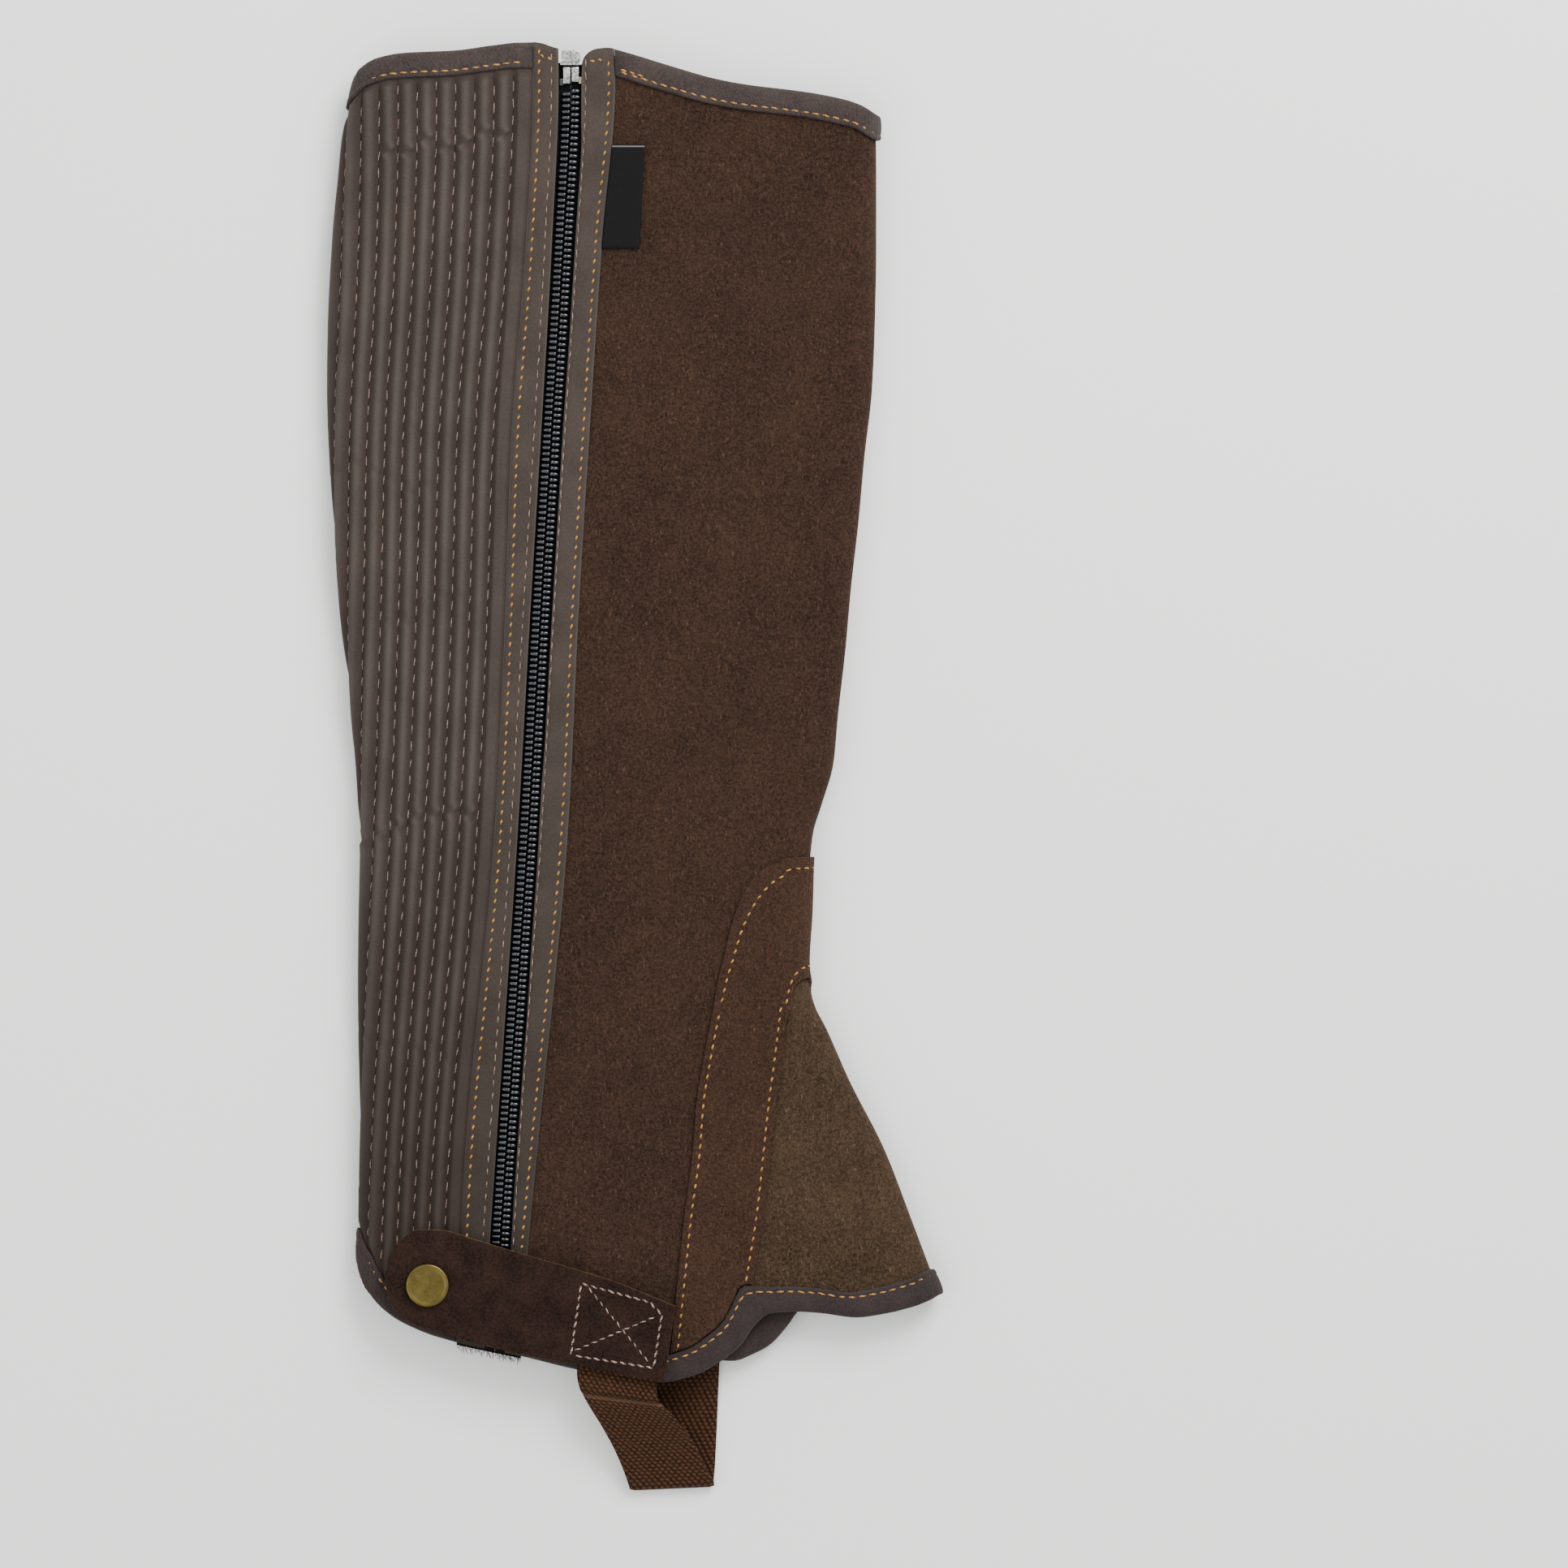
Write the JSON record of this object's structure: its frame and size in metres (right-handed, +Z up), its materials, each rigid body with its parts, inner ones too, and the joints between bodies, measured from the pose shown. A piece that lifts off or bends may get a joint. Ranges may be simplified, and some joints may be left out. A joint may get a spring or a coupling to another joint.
{
  "type": "half chap",
  "caption": "Brown suede riding half chap with a ribbed stretch back, side zip, snap tab, instep gusset and elastic foot strap, lying flat with its outer side up.",
  "frame": {"origin": "bottom centre of the bounding box: middle of the plan outline, on the face that the chap lies on", "axes": "+Y up the leg from the foot strap to the calf mouth, +X towards the front of the leg, +Z up out of the outer side"},
  "size_m": [0.2097, 0.4914, 0.0188],
  "materials": {
    "brown_suede": "brushed suede nap",
    "grip_suede": "brushed suede nap",
    "gusset_suede": "brushed suede nap",
    "overlay_suede": "brushed suede nap",
    "band_suede": "brushed suede nap",
    "tab_leather": "smooth oiled",
    "ribbed_stretch": "matte ribbed stretch",
    "facing": "matte smooth",
    "zip_tape": "woven",
    "zip_coil": "satin",
    "label": "woven, blank",
    "binding": "matte stretch tape",
    "elastic": "woven elastic",
    "zip_silver": "satin",
    "zip_black": "satin",
    "antique_brass": "antiqued"
  },
  "bodies": {
    "root": {"suede_body": "brown_suede", "ribbed_panel": "ribbed_stretch", "instep_gusset": "gusset_suede", "instep_overlay": "overlay_suede", "zip_strip_left": "facing", "zip_strip_right": "facing", "zip_tape_left": "zip_tape", "zip_tape_right": "zip_tape", "zip_chain": "zip_coil", "grip_patch": "grip_suede", "back_band": "band_suede", "woven_label": "label", "mouth_binding": "binding", "hem_binding": "binding", "leather_tab": "tab_leather", "strap_patch": "tab_leather", "elastic_strap": "elastic", "zip_box": "zip_silver", "zip_pin_left": "zip_silver", "zip_pin_right": "zip_silver", "zip_slider": "zip_black", "zip_pull": "zip_black", "snap_cap": "antique_brass", "snap_socket": "antique_brass", "snap_stud": "antique_brass"}
  },
  "joints": []
}
